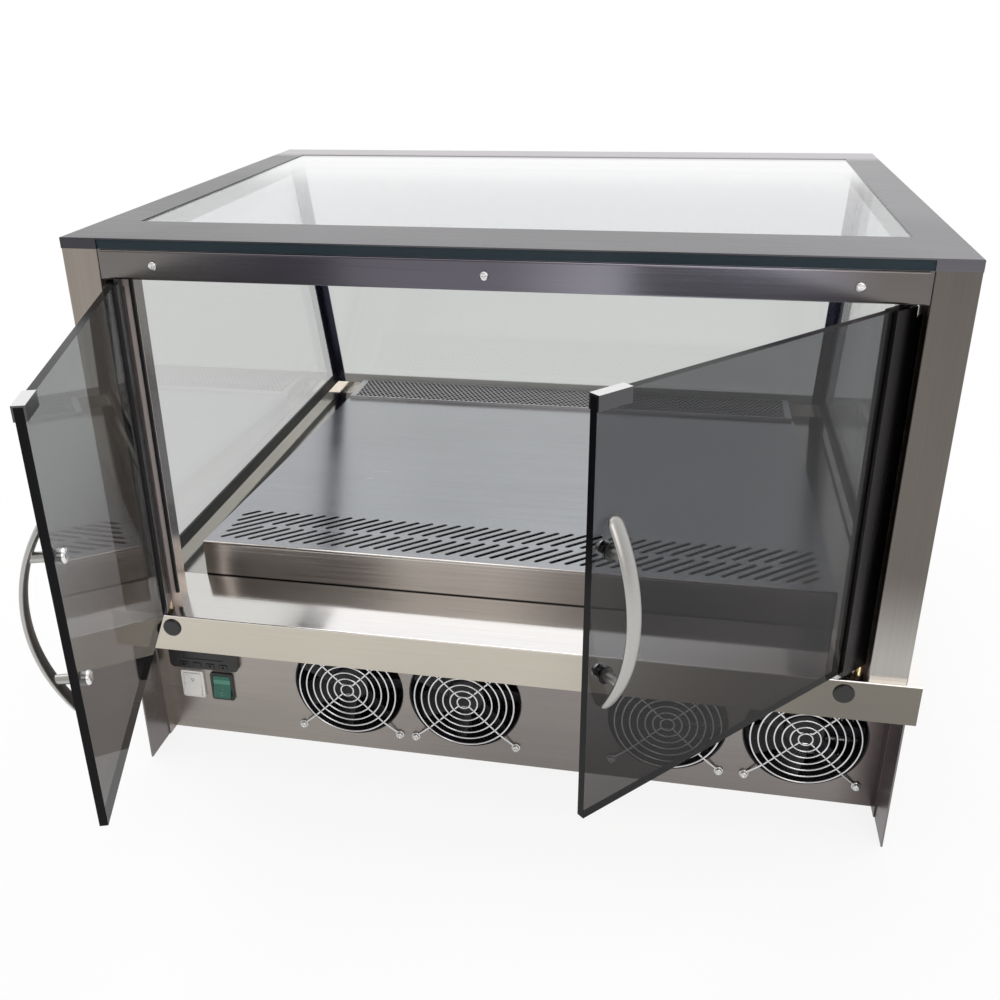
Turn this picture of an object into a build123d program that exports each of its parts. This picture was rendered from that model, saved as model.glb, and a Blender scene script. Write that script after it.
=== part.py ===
from build123d import *
import math
import os

os.makedirs("parts", exist_ok=True)

# Refrigerated countertop display cabinet, seen from its two-door operator side.
# X runs to the right, Y from the doors to the customer side, Z up.
# The origin is the centre of the footprint at the height of the worktop.

# Overall sizes
base_w = 736.0
base_d = 664.0
cabinet_w = 714.0
cabinet_h = 547.0
sheet = 1.2
fit = 0.3

# Ledge, the plate that carries the doors and posts
ledge_z = 191.0
ledge_face_h = 39.0
ledge_depth = 81.0
fold_inset = 3.5
plug_x = 306.5
plug_drop = 13.3
plug_r = 9.0
plug_stem_r = 7.9
plug_stem_l = 6.0
plug_dome = 2.2

# Cabinet frame
cabinet_setback = 5.5
post_w = 32.0
post_d = 36.0
post_wall = 1.5
top_d = 548.0
top_glass_t = 8.0
window_side = 36.0
window_front = 72.5
window_back = 48.0
header_h = 24.8
header_depth = 50.0
header_cover_t = 2.2
header_gap = 3.0
header_screw_x = 276.0

# Glazing
glass_t = 6.0
glass_inset = 1.0
seat_h = 9.0
seat_w = 11.0
seat_rear_d = 13.0
rear_lean = 18.0
angle_leg = 14.0
angle_t = 1.5
rail_h = 13.0
rail_t = 3.0

# Doors and their pivots
pivot_in = 6.0
pivot_back = 14.0
centre_gap = 6.0
door_bottom_gap = 10.0
door_top_gap = 2.0
left_open = 71.7
right_open = 47.2
stile_w = 31.0
stile_r = 5.3
stile_notch = 6.2
stile_grip = 7.0
stile_bottom_gap = 7.3
sleeve_r = 4.5
sleeve_top_h = 10.0
sleeve_bottom_h = 7.0
pin_r = 2.5
pin_l = 14.0
running = 0.05
clip_l = 27.0
clip_h = 9.0
handle_from_edge = 15.4
handle_z = 360.0
handle_pitch = 92.0
handle_l = 132.0
handle_half_w = 6.0
handle_half_t = 2.5
handle_out_mid = 26.5
handle_out_end = 7.0
standoff_r = 3.6
washer_r = 6.0
washer_t = 1.5
cap_r = 5.5
cap_h = 4.0

# Jambs, seals, catches and light
jamb_w = 17.0
jamb_back = 22.0
gasket_w = 3.0
magnet_w = 25.0
magnet_d = 12.0
magnet_h = 12.0
led_l = 590.0
led_d = 12.0
led_h = 8.0

# Cooled well, deck and rear grille
well_front = -212.0
well_back = 300.0
well_half_w = 296.0
well_floor_z = 146.0
foam_t = 16.0
deck_half_w = 305.0
deck_lip_h = 37.7
deck_rear_h = 13.0
deck_l = 489.0
slot_w = 4.7
slot_pitch = 14.55
slot_edge_x = 291.6
slot_front_y = 13.3
slot_run_y = 31.7
slot_bridge_y = 6.2
slot_slant = 1.06
grille_half_w = 303.0
grille_l = 70.0
grille_h = 17.0
grille_rim = 8.0
grille_hole_r = 2.6
grille_pitch_x = 8.0
grille_pitch_y = 7.0

# Lower housing
skirt_t = 1.5
skirt_front = 19.0
panel_back = 73.5
panel_flange = 15.0
pan_z = 0.0
rear_panel_in = 2.0
vent_w = 6.0
vent_h = 80.0
vent_pitch = 18.0
vent_count = 14

# Axial fans and their guards
fan_size = 119.0
fan_depth = 25.4
fan_holes = 104.8
fan_z = 75.3
fan_duct_r = 57.0
panel_hole_r = 58.0
fan_left_mid = -99.0
fan_left_pitch = 122.0
fan_right_mid = 228.0
fan_right_pitch = 129.0
hub_r = 19.0
mount_t = 4.0
shaft_r = 1.5
blade_count = 7
blade_tip_r = 55.5
blade_chord = 26.0
blade_t = 1.8
blade_angle = 35.0
ring_count = 7
ring_outer_r = 51.0
ring_step = 7.4
ring_wire_r = 0.9
spoke_wire_r = 1.1
guard_lift = 4.5
eye_r = 3.6
screw_head_r = 3.7
screw_head_h = 2.4
screw_shank_r = 2.0
screw_shank_l = 20.0

# Controls on the lower panel
control_w = 76.0
control_h = 34.0
control_x = -317.0
control_z = 98.6
control_bezel = 5.0
control_body_w = 70.0
control_body_h = 28.0
control_body_l = 50.0
key_w = 8.4
key_h = 5.4
key_t = 3.2
key_pitch = 14.6
key_drop = 12.0
key_proud = 0.8
key_clear = 0.3
key_pocket = 4.6
switch_w = 25.0
switch_h = 33.0
switch_bezel = 2.5
switch_body_w = 21.4
switch_body_h = 29.4
switch_body_l = 24.0
light_switch_x = -333.5
power_switch_x = -300.5
switch_z = 59.6
rocker_w = 18.8
rocker_h = 25.6
rocker_t = 6.0
rocker_well = 12.0
rocker_tilt = 7.0
axle_r = 1.5
axle_l = 1.0

# Refrigeration parts behind the panel
evap_w = 460.0
evap_front = -60.0
evap_back = 160.0
evap_h = 36.0
cond_w = 250.0
cond_x = 228.0
cond_front = -222.0
cond_d = 34.0
cond_h = 108.0
fin_t = 0.8
fin_pitch = 10.0
comp_x = -120.0
comp_y = 60.0
comp_r = 58.0
comp_h = 96.0
comp_foot_h = 6.0
pipe_r = 3.2
pipe_well_x = -260.0
coil_tube_r = 4.0
coil_tube_out = 6.0
evap_tube_pitch = 44.0
evap_tube_first = 22.0
cond_tube_pitch = 20.0
cond_tube_first = 14.0
tube_rows = 5
inlet_x = -280.0
inlet_z = 62.0

# Planes worked out from the sizes above
front = -base_d / 2
back = base_d / 2
half_w = base_w / 2
cab_half = cabinet_w / 2
cab_front = front + cabinet_setback
cab_back = cab_front + top_d
under_sheet = cabinet_h - sheet
under_top = under_sheet - top_glass_t
header_z = under_top - header_h
plate_under = ledge_z - sheet
post_in = cab_half - post_w
post_back = cab_front + post_d
pivot_x = post_in - pivot_in
pivot_y = cab_front + pivot_back
door_reach = pivot_x - centre_gap / 2
door_z0 = ledge_z + door_bottom_gap
door_z1 = header_z - door_top_gap
seat_z = ledge_z + seat_h
side_out = cab_half - glass_inset
side_in = side_out - glass_t
lean = math.tan(math.radians(rear_lean))
lean_cos = math.cos(math.radians(rear_lean))
deck_front = front + ledge_depth
deck_back = deck_front + deck_l
skirt_out = half_w - fold_inset
skirt_in = skirt_out - skirt_t
panel_y = front + panel_back
panel_in = panel_y + sheet
rear_panel_y = back - rear_panel_in
rear_panel_in_y = rear_panel_y - sheet
pan_top = pan_z + sheet
pipe_well_y = evap_front + evap_tube_first + 3 * evap_tube_pitch
fan_back = panel_in + fan_depth
fan_xs = (
    fan_left_mid - fan_left_pitch / 2,
    fan_left_mid + fan_left_pitch / 2,
    fan_right_mid - fan_right_pitch / 2,
    fan_right_mid + fan_right_pitch / 2,
)
nodes = {}


def slab(x0, x1, y0, y1, z0, z1):
    """A box from its two corners."""
    middle = Pos((x0 + x1) / 2, (y0 + y1) / 2, (z0 + z1) / 2)
    return middle * Box(abs(x1 - x0), abs(y1 - y0), abs(z1 - z0))


def rod_z(x, y, z0, z1, r):
    """A round bar that stands upright."""
    return Pos(x, y, (z0 + z1) / 2) * Cylinder(r, z1 - z0)


def rod_y(x, z, y0, y1, r):
    """A round bar that points from front to back."""
    return Pos(x, (y0 + y1) / 2, z) * Rot(90, 0, 0) * Cylinder(r, y1 - y0)


def rod_x(y, z, x0, x1, r):
    """A round bar that points from side to side."""
    return Pos((x0 + x1) / 2, y, z) * Rot(0, 90, 0) * Cylinder(r, x1 - x0)


def side_prism(points, x0, x1):
    """A solid with an outline in Y and Z, pulled from x0 to x1."""
    outline = Plane.YZ * Polyline(*points, close=True)
    face = make_face(outline)
    return Pos(x0, 0, 0) * extrude(face, amount=x1 - x0, dir=(1, 0, 0))


def rear_plane(z, offset=0.0):
    """Y of the leaning rear glass's inner face at a height, moved out by an offset."""
    top_inner = cab_back - glass_t / lean_cos - glass_inset
    return top_inner + (under_top - z) * lean + offset / lean_cos


def leaning(offset0, offset1, z0, z1, x0, x1):
    """A bar or pane parallel to the rear glass, between two offsets from its inner face."""
    points = (
        (rear_plane(z0, offset0), z0),
        (rear_plane(z0, offset1), z0),
        (rear_plane(z1, offset1), z1),
        (rear_plane(z1, offset0), z1),
    )
    return side_prism(points, x0, x1)


def both_sides(solid):
    """A solid and its mirror image across the middle of the cabinet."""
    return [solid, mirror(solid, about=Plane.YZ)]


def keep(name, *solids):
    """Writes down one node, made of one or more separate solids."""
    flat = []
    for solid in solids:
        flat += list(solid.solids())
    nodes[name] = flat


def make_top():
    """Steel picture frame on the top pane, folded down at the sides and the rear."""
    cover = slab(-cab_half, cab_half, cab_front, cab_back, under_top, cabinet_h)
    cover = cover - slab(
        -cab_half + sheet, cab_half - sheet, cab_front - 1, cab_back - sheet, under_top - 1, under_sheet,
    )
    window = slab(
        -cab_half + window_side, cab_half - window_side,
        cab_front + window_front, cab_back - window_back, under_sheet - 1, cabinet_h + 1,
    )
    cover = cover - window
    tab = slab(post_in, cab_half, cab_front, cab_front + sheet, under_top, cabinet_h)
    for piece in both_sides(tab):
        cover = cover + piece
    cover = fillet(cover.edges().filter_by(Axis.Y).group_by(Axis.Z)[-1].sort_by(Axis.X)[0], sheet * 0.8)
    cover = fillet(cover.edges().filter_by(Axis.Y).group_by(Axis.Z)[-1].sort_by(Axis.X)[-1], sheet * 0.8)
    keep("top_frame", cover)
    pane = slab(
        -cab_half + sheet, cab_half - sheet, cab_front + sheet, cab_back - sheet, under_top, under_sheet,
    )
    keep("top_glass", pane)


def make_header():
    """Folded channel between the posts, with a screwed-on cover in front."""
    y0 = cab_front + sheet
    web = slab(-post_in, post_in, y0, y0 + sheet, header_z, under_top)
    top = slab(-post_in, post_in, y0, cab_front + header_depth, under_top - sheet, under_top)
    low = slab(-post_in, post_in, y0, cab_front + header_depth, header_z, header_z + sheet)
    channel = web + top + low
    cover_half = post_in - header_gap
    cover = slab(-cover_half, cover_half, y0 - header_cover_t, y0, header_z + fit, under_top - fit)
    face_edges = cover.edges().filter_by(Axis.X).group_by(Axis.Y)[0]
    cover = fillet(face_edges, header_cover_t * 0.8)
    screw_z = (header_z + under_top) / 2
    for x in (-header_screw_x, 0.0, header_screw_x):
        bore = rod_y(x, screw_z, y0 - 5, y0 + 5, screw_shank_r)
        cover = cover - bore
        channel = channel - bore
    keep("header_channel", channel)
    keep("header_cover", cover)


def pan_screw(x, z, y_face, length):
    """Pan-head cross-recess screw whose head sits on a face and points to the doors."""
    head = rod_y(x, z, y_face - screw_head_h, y_face, screw_head_r)
    head = fillet(head.edges().group_by(Axis.Y)[0], screw_head_h * 0.6)
    recess = slab(x - 1.9, x + 1.9, y_face - screw_head_h - 1, y_face - 1, z - 0.4, z + 0.4)
    recess = recess + slab(x - 0.4, x + 0.4, y_face - screw_head_h - 1, y_face - 1, z - 1.9, z + 1.9)
    return head - recess + rod_y(x, z, y_face, y_face + length, screw_shank_r)


def make_screws():
    """All the pan-head screws: three in the header cover, four at each fan guard."""
    screws = []
    screw_z = (header_z + under_top) / 2
    cover_face = cab_front + sheet - header_cover_t
    for x in (-header_screw_x, 0.0, header_screw_x):
        screws.append(pan_screw(x, screw_z, cover_face, header_cover_t + sheet))
    for fan_x in fan_xs:
        for sx in (-1, 1):
            for sz in (-1, 1):
                x = fan_x + sx * fan_holes / 2
                z = fan_z + sz * fan_holes / 2
                screws.append(pan_screw(x, z, panel_y - 2 * spoke_wire_r, screw_shank_l))
    keep("panhead_screws", *screws)


def make_posts():
    """Front posts of folded tube and rear corner angles that lean with the rear glass."""
    tube = slab(post_in, cab_half, cab_front, post_back, ledge_z, under_top)
    tube = fillet(tube.edges().filter_by(Axis.Z), 1.4)
    hollow = slab(
        post_in + post_wall, cab_half - post_wall, cab_front + post_wall, post_back - post_wall,
        ledge_z - 1, under_top + 1,
    )
    right, left = both_sides(tube - hollow)
    keep("front_post_right", right)
    keep("front_post_left", left)
    side_leg = leaning(-angle_leg, 0, seat_z, under_top, side_in - angle_t, side_in)
    rear_leg = leaning(-angle_t, 0, seat_z, under_top, side_in - angle_leg, side_in)
    right, left = both_sides(side_leg + rear_leg)
    keep("rear_post_right", right)
    keep("rear_post_left", left)


def make_glazing():
    """Two side panes, the leaning rear pane and the black rails along their feet."""
    points = (
        (post_back, seat_z),
        (rear_plane(seat_z, glass_t), seat_z),
        (rear_plane(under_top, glass_t), under_top),
        (post_back, under_top),
    )
    right, left = both_sides(side_prism(points, side_in, side_out))
    keep("side_glass_right", right)
    keep("side_glass_left", left)
    keep("rear_glass", leaning(0, glass_t, seat_z, under_top, -side_in, side_in))
    rail_end = rear_plane(seat_z + rail_h, -angle_leg) - fit
    side_rail = slab(side_in - rail_t, side_in, post_back, rail_end, seat_z, seat_z + rail_h)
    rear_half = side_in - angle_leg - fit
    rear_rail = leaning(-rail_t, 0, seat_z, seat_z + rail_h, -rear_half, rear_half)
    keep("glass_base_rails", *both_sides(side_rail), rear_rail)


def make_jambs():
    """Steel jamb strips inside the posts and the black gaskets that the doors close on."""
    y0 = cab_front + jamb_back
    strip = slab(post_in - jamb_w, post_in, y0, y0 + sheet, ledge_z, header_z)
    strip = strip + slab(post_in - jamb_w, post_in - jamb_w + sheet, y0, post_back, ledge_z, header_z)
    right, left = both_sides(strip)
    keep("door_jamb_right", right)
    keep("door_jamb_left", left)
    gasket_y = pivot_y + stile_r + fit
    x0 = post_in - jamb_w + 0.5
    gasket = slab(x0, x0 + gasket_w, gasket_y, y0, door_z0, door_z1)
    keep("door_gaskets", *both_sides(gasket))


def make_ledge():
    """Front ledge plate with its folded face, and the two black plugs below the pivots."""
    face_z = ledge_z - ledge_face_h
    block = slab(-half_w, half_w, front, deck_front, face_z, ledge_z)
    block = fillet(block.edges().filter_by(Axis.X).group_by(Axis.Z)[-1].sort_by(Axis.Y)[0], sheet * 0.8)
    inside = slab(-half_w + sheet, half_w - sheet, front + sheet, deck_front + 1, face_z - 1, plate_under)
    plate = block - inside
    lip = slab(-half_w + sheet, half_w - sheet, front + sheet, front + 10, face_z, face_z + sheet)
    plate = plate + lip
    seat_out = side_out + glass_inset
    seat = slab(seat_out - seat_w, seat_out, post_back, deck_front, ledge_z, seat_z)
    for piece in both_sides(seat):
        plate = plate + piece
    plugs = []
    plug_z = ledge_z - plug_drop
    for x in (-plug_x, plug_x):
        plate = plate - rod_y(x, plug_z, front - 1, front + sheet + 1, plug_stem_r + 0.1)
        dome = rod_y(x, plug_z, front - plug_dome, front, plug_r)
        dome = fillet(dome.edges().group_by(Axis.Y)[0], plug_dome * 0.8)
        plugs.append(dome + rod_y(x, plug_z, front, front + plug_stem_l, plug_stem_r))
    keep("ledge_plate", plate)
    keep("ledge_plugs", *plugs)


def make_well():
    """Base plate behind the ledge with the sunk well, the glass seats and the foam below."""
    face_z = ledge_z - ledge_face_h
    y0 = deck_front + fit
    block = slab(-half_w, half_w, y0, back, face_z, ledge_z)
    inside = slab(-half_w + sheet, half_w - sheet, y0 - 1, back - sheet, face_z - 1, plate_under)
    plate = block - inside
    tub = slab(
        -well_half_w - sheet, well_half_w + sheet, well_front - sheet, well_back + sheet,
        well_floor_z - sheet, ledge_z,
    )
    hollow = slab(-well_half_w, well_half_w, well_front, well_back, well_floor_z, ledge_z + 1)
    plate = plate + tub - hollow
    seats = [slab(side_out + glass_inset - seat_w, side_out + glass_inset, y0, back - 1, ledge_z, seat_z)]
    seats += [mirror(seats[0], about=Plane.YZ)]
    seats.append(slab(-cab_half + 1, cab_half - 1, back - 1 - seat_rear_d, back - 1, ledge_z, seat_z))
    for seat in seats:
        plate = plate + seat
    pipe_hole = rod_z(pipe_well_x, pipe_well_y, 100, ledge_z, pipe_r + 0.4)
    keep("well_tub", plate - pipe_hole)
    outer = slab(
        -well_half_w - sheet - foam_t, well_half_w + sheet + foam_t,
        well_front - sheet - foam_t, well_back + sheet + foam_t,
        well_floor_z - sheet - foam_t, plate_under,
    )
    keep("well_insulation", outer - tub - pipe_hole)


def slot_cutter(x0, x1, y0):
    """Cutter for one slanted slot from x0 to x1, which starts at y0."""
    dx = x1 - x0
    dy = dx / slot_slant
    outline = SlotOverall(math.hypot(dx, dy), slot_w)
    turned = Rot(0, 0, math.degrees(math.atan2(dy, dx))) * extrude(outline, amount=60)
    return Pos((x0 + x1) / 2, y0 + dy / 2, ledge_z + 5) * turned


def deck_slots():
    """Cutters for slanted slots in two rows, with the lines that meet a side cut off there."""
    front_y = deck_front + slot_front_y
    run_x = slot_run_y * slot_slant
    rear_shift = (slot_run_y + slot_bridge_y) * slot_slant
    line_x = rear_shift + run_x
    whole = int((2 * slot_edge_x - line_x) / slot_pitch) + 1
    clipped = int(line_x / slot_pitch) - 1
    cutters = []
    for index in range(-clipped, whole + clipped):
        x0 = -slot_edge_x + index * slot_pitch
        if index < 0:
            edge_y = front_y + (-slot_edge_x - x0) / slot_slant
            cutters.append(slot_cutter(-slot_edge_x, x0 + line_x, edge_y))
        elif index >= whole:
            cutters.append(slot_cutter(x0, slot_edge_x, front_y))
        else:
            cutters.append(slot_cutter(x0, x0 + run_x, front_y))
            cutters.append(slot_cutter(x0 + rear_shift, x0 + line_x, front_y + slot_run_y + slot_bridge_y))
    return cutters


def make_deck():
    """Display deck: a folded lid over the well, high at the doors and low at the rear."""
    top_front = ledge_z + deck_lip_h
    top_back = ledge_z + deck_rear_h
    outer = side_prism(
        ((deck_front, ledge_z), (deck_front, top_front), (deck_back, top_back), (deck_back, ledge_z)),
        -deck_half_w, deck_half_w,
    )
    outer = fillet(outer.edges().filter_by(Axis.X).group_by(Axis.Z)[-1], 2.4)
    inner = side_prism(
        (
            (deck_front + sheet, ledge_z - 1), (deck_front + sheet, top_front - sheet),
            (deck_back - sheet, top_back - sheet), (deck_back - sheet, ledge_z - 1),
        ),
        -deck_half_w + sheet, deck_half_w - sheet,
    )
    keep("slotted_deck", (outer - inner) - deck_slots())


def make_grille():
    """Perforated air grille in a folded rim, behind the deck."""
    y0 = deck_back + fit
    y1 = y0 + grille_l
    top_z = ledge_z + grille_h
    rim = slab(-grille_half_w, grille_half_w, y0, y1, ledge_z, top_z)
    inside = slab(
        -grille_half_w + sheet, grille_half_w - sheet, y0 + sheet, y1 - sheet, ledge_z - 1, top_z - sheet,
    )
    rim = rim - inside
    holes = []
    rows = int((grille_l - 2 * grille_rim) / grille_pitch_y)
    columns = int((2 * grille_half_w - 2 * grille_rim) / grille_pitch_x) - 1
    drill = Cylinder(grille_hole_r, 10)
    for row in range(rows + 1):
        shift = (row % 2) * grille_pitch_x / 2
        y = (y0 + y1) / 2 + (row - rows / 2) * grille_pitch_y
        for column in range(columns):
            x = (column - (columns - 1) / 2) * grille_pitch_x + shift - grille_pitch_x / 4
            holes.append(Pos(x, y, top_z) * drill)
    keep("rear_grille", rim - holes)


def make_housing():
    """Lower front panel, side skirts, rear panel and base pan."""
    panel = slab(-skirt_in, skirt_in, panel_y, panel_in, 0, plate_under)
    flange = slab(skirt_in - sheet, skirt_in, panel_y - panel_flange, panel_y, 0, plate_under)
    for piece in both_sides(flange):
        panel = panel + piece
    for x in fan_xs:
        panel = panel - rod_y(x, fan_z, panel_y - 5, panel_in + 5, panel_hole_r)
        for sx in (-1, 1):
            for sz in (-1, 1):
                hole_x = x + sx * fan_holes / 2
                hole_z = fan_z + sz * fan_holes / 2
                panel = panel - rod_y(hole_x, hole_z, panel_y - 5, panel_in + 5, screw_shank_r)
    panel = panel - slab(
        control_x - control_body_w / 2, control_x + control_body_w / 2, panel_y - 5, panel_in + 5,
        control_z - control_body_h / 2, control_z + control_body_h / 2,
    )
    for x in (light_switch_x, power_switch_x):
        panel = panel - slab(
            x - switch_body_w / 2, x + switch_body_w / 2, panel_y - 5, panel_in + 5,
            switch_z - switch_body_h / 2, switch_z + switch_body_h / 2,
        )
    keep("lower_front_panel", panel)
    skirt = slab(skirt_in, skirt_out, front + skirt_front, rear_panel_y, 0, plate_under)
    right, left = both_sides(skirt)
    keep("side_skirt_right", right)
    keep("side_skirt_left", left)
    rear = slab(-skirt_in, skirt_in, rear_panel_in_y, rear_panel_y, 0, plate_under)
    slots = []
    for index in range(vent_count):
        x = (index - (vent_count - 1) / 2) * vent_pitch
        slots.append(slab(x - vent_w / 2, x + vent_w / 2, rear_panel_in_y - 1, back, 40, 40 + vent_h))
    rear = rear - slots
    rear = rear - slab(inlet_x - 14, inlet_x + 14, rear_panel_in_y - 1, back, inlet_z - 10, inlet_z + 10)
    keep("rear_panel", rear)
    keep("base_pan", slab(-skirt_in, skirt_in, panel_in, rear_panel_in_y, pan_z, pan_top))


def fan_frame(x):
    """Square fan frame with its round duct, struts, motor mount and shaft."""
    half = fan_size / 2
    body = slab(x - half, x + half, panel_in, fan_back, fan_z - half, fan_z + half)
    body = fillet(body.edges().filter_by(Axis.Y), 5)
    body = body - rod_y(x, fan_z, panel_in - 1, fan_back + 1, fan_duct_r)
    for sx in (-1, 1):
        for sz in (-1, 1):
            hole_x = x + sx * fan_holes / 2
            hole_z = fan_z + sz * fan_holes / 2
            body = body - rod_y(hole_x, hole_z, panel_in - 1, fan_back + 1, screw_shank_r)
    arm_y = fan_back - mount_t
    arms = slab(x - fan_duct_r - 1, x + fan_duct_r + 1, arm_y, fan_back, fan_z - 2, fan_z + 2)
    arms = arms + slab(x - 2, x + 2, arm_y, fan_back, fan_z - fan_duct_r - 1, fan_z + fan_duct_r + 1)
    body = body + arms + rod_y(x, fan_z, arm_y, fan_back, hub_r)
    return body + rod_y(x, fan_z, arm_y - 12, arm_y, shaft_r)


def fan_impeller(x):
    """Seven-blade impeller that runs on the frame's shaft."""
    hub_y1 = fan_back - mount_t - fit
    hub_y0 = panel_in + 3
    hub = rod_y(0, 0, hub_y0, hub_y1, hub_r)
    hub = fillet(hub.edges().group_by(Axis.Y)[0], 2.0)
    blade_l = blade_tip_r - hub_r + 3
    middle_y = (hub_y0 + hub_y1) / 2
    blade = Pos((blade_tip_r + hub_r) / 2 - 1, middle_y, 0)
    blade = blade * Rot(blade_angle, 0, 0) * Box(blade_l, blade_t, blade_chord)
    tips = rod_y(0, 0, hub_y0 - 5, hub_y1 + 5, blade_tip_r)
    for index in range(blade_count):
        turned = Rot(0, index * 360 / blade_count, 0) * (blade & tips)
        hub = hub + turned
    bore = rod_y(0, 0, hub_y1 - 12.5, hub_y1 + 1, shaft_r + running)
    return Pos(x, 0, fan_z) * (hub - bore)


def wire(points, radius):
    """A bent round wire through straight points, with balls at the bends."""
    solid = None
    for start, end in zip(points[:-1], points[1:]):
        axis = Vector(*end) - Vector(*start)
        plane = Plane(origin=start, z_dir=axis)
        piece = plane * Cylinder(radius, axis.length, align=(Align.CENTER, Align.CENTER, Align.MIN))
        solid = piece if solid is None else solid + piece
    for point in points[1:-1]:
        solid = solid + Pos(*point) * Sphere(radius)
    return solid


def fan_guard(x):
    """Finger guard of seven wire rings on two bent wires with an eye at each corner."""
    reach = fan_holes / 2
    y_foot = panel_y - spoke_wire_r
    y_out = panel_y - guard_lift
    eye_in = eye_r * 0.72
    knee = ring_outer_r * 0.72
    inner = ring_wire_r + 5.0
    guard = None
    for sz in (-1, 1):
        points = (
            (-reach + eye_in, y_foot, sz * (reach - eye_in)),
            (-knee, y_out, sz * knee),
            (-inner, y_out, sz * inner),
            (inner, y_out, sz * inner),
            (knee, y_out, sz * knee),
            (reach - eye_in, y_foot, sz * (reach - eye_in)),
        )
        bent = wire(points, spoke_wire_r)
        for sx in (-1, 1):
            eye = Pos(sx * reach, y_foot, sz * reach) * Rot(90, 0, 0) * Torus(eye_r, spoke_wire_r)
            bent = bent + eye
        guard = bent if guard is None else guard + bent
    y_ring = y_out - spoke_wire_r - ring_wire_r + 0.5
    for index in range(ring_count):
        radius = ring_outer_r - index * ring_step
        guard = guard + Pos(0, y_ring, 0) * Rot(90, 0, 0) * Torus(radius, ring_wire_r)
    return Pos(x, 0, fan_z) * guard


def make_fans():
    """Four axial fans behind the panel, with guards in front."""
    keep("fan_frames", *[fan_frame(x) for x in fan_xs])
    keep("fan_guards", *[fan_guard(x) for x in fan_xs])
    for number, x in enumerate(fan_xs, start=1):
        keep(f"fan_impeller_{number}", fan_impeller(x))


def key_x(index):
    """X of the middle of a controller key, counted from the left."""
    return control_x + (index - 1.5) * key_pitch


def make_controller():
    """Digital thermostat clipped into the panel, with four push keys."""
    y0 = panel_y - control_bezel
    bezel = slab(
        control_x - control_w / 2, control_x + control_w / 2, y0, panel_y,
        control_z - control_h / 2, control_z + control_h / 2,
    )
    bezel = fillet(bezel.edges().filter_by(Axis.Y), 5)
    body = slab(
        control_x - control_body_w / 2, control_x + control_body_w / 2, panel_y, panel_y + control_body_l,
        control_z - control_body_h / 2, control_z + control_body_h / 2,
    )
    unit = bezel + body
    key_z = control_z - key_drop
    key_y = y0 - key_proud
    for index, name in enumerate(("set", "aux", "down", "up")):
        x = key_x(index)
        pocket = slab(
            x - key_w / 2 - key_clear, x + key_w / 2 + key_clear, y0 - 1, y0 + key_pocket,
            key_z - key_h / 2 - key_clear, key_z + key_h / 2 + key_clear,
        )
        unit = unit - pocket
        cap = slab(x - key_w / 2, x + key_w / 2, key_y, key_y + key_t, key_z - key_h / 2, key_z + key_h / 2)
        cap = fillet(cap.edges().group_by(Axis.Y)[0], 0.6)
        keep(f"controller_key_{name}", cap)
    display = slab(control_x - 22, control_x + 22, y0 - 1, y0 + 0.6, control_z - 5, control_z + 13)
    keep("controller", unit - display)


def make_switch(frame_name, rocker_name, x, tilt):
    """Snap-in rocker switch: bezel and body, and a rocker on two axle stubs."""
    y0 = panel_y - switch_bezel
    bezel = slab(
        x - switch_w / 2, x + switch_w / 2, y0, panel_y, switch_z - switch_h / 2, switch_z + switch_h / 2,
    )
    bezel = fillet(bezel.edges().filter_by(Axis.Y), 2.5)
    body = slab(
        x - switch_body_w / 2, x + switch_body_w / 2, panel_y, panel_y + switch_body_l,
        switch_z - switch_body_h / 2, switch_z + switch_body_h / 2,
    )
    well = slab(
        x - rocker_w / 2 - fit, x + rocker_w / 2 + fit, y0 - 1, y0 + rocker_well,
        switch_z - rocker_h / 2 - 1.1, switch_z + rocker_h / 2 + 1.1,
    )
    axis_y = y0 + 2.6
    reach = rocker_w / 2 + axle_l
    socket = rod_x(axis_y, switch_z, x - reach - fit, x + reach + fit, axle_r + running)
    keep(frame_name, bezel + body - well - socket)
    half = rocker_h / 2
    points = ((-4.2, half), (-2.4, 0), (-4.2, -half), (rocker_t - 2.6, -half + 1), (rocker_t - 2.6, half - 1))
    rocker = side_prism(points, -rocker_w / 2, rocker_w / 2)
    rocker = rocker + rod_x(0, 0, -reach, reach, axle_r)
    keep(rocker_name, Pos(x, axis_y, switch_z) * Rot(tilt, 0, 0) * rocker)


def place_door(solid, side):
    """Puts a closed left-hand door piece, drawn about its pivot, at its open rest angle."""
    if side == "left":
        return Pos(-pivot_x, pivot_y, 0) * Rot(0, 0, -left_open) * solid
    return Pos(pivot_x, pivot_y, 0) * Rot(0, 0, right_open) * mirror(solid, about=Plane.YZ)


def door_glass():
    """Tinted pane gripped by the stile at its hinge edge, with two handle holes."""
    pane = slab(stile_w - stile_grip, door_reach, -glass_t / 2, glass_t / 2, door_z0, door_z1)
    for z in (handle_z - handle_pitch / 2, handle_z + handle_pitch / 2):
        pane = pane - rod_y(door_reach - handle_from_edge, z, -glass_t, glass_t, standoff_r + 0.2)
    return pane


def door_stile():
    """Hinge stile: a tube on the pivot line with a channel that holds the glass."""
    z0 = ledge_z + stile_bottom_gap
    tube_top = header_z - sleeve_top_h - fit
    tube = rod_z(0, 0, z0, tube_top, stile_r)
    tube = tube + slab(0, stile_notch, -stile_r, stile_r, z0, tube_top)
    channel = slab(stile_notch, stile_w, -stile_r, stile_r, z0, door_z1)
    grip = slab(stile_w - stile_grip, stile_w + 1, -glass_t / 2, glass_t / 2, door_z0, door_z1 + 1)
    stile = tube + channel - grip
    stile = stile - rod_z(0, 0, z0 - 1, z0 + pin_l + 0.5, pin_r + running)
    return stile - rod_z(0, 0, tube_top - pin_l - 0.5, tube_top + 1, pin_r + running)


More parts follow.
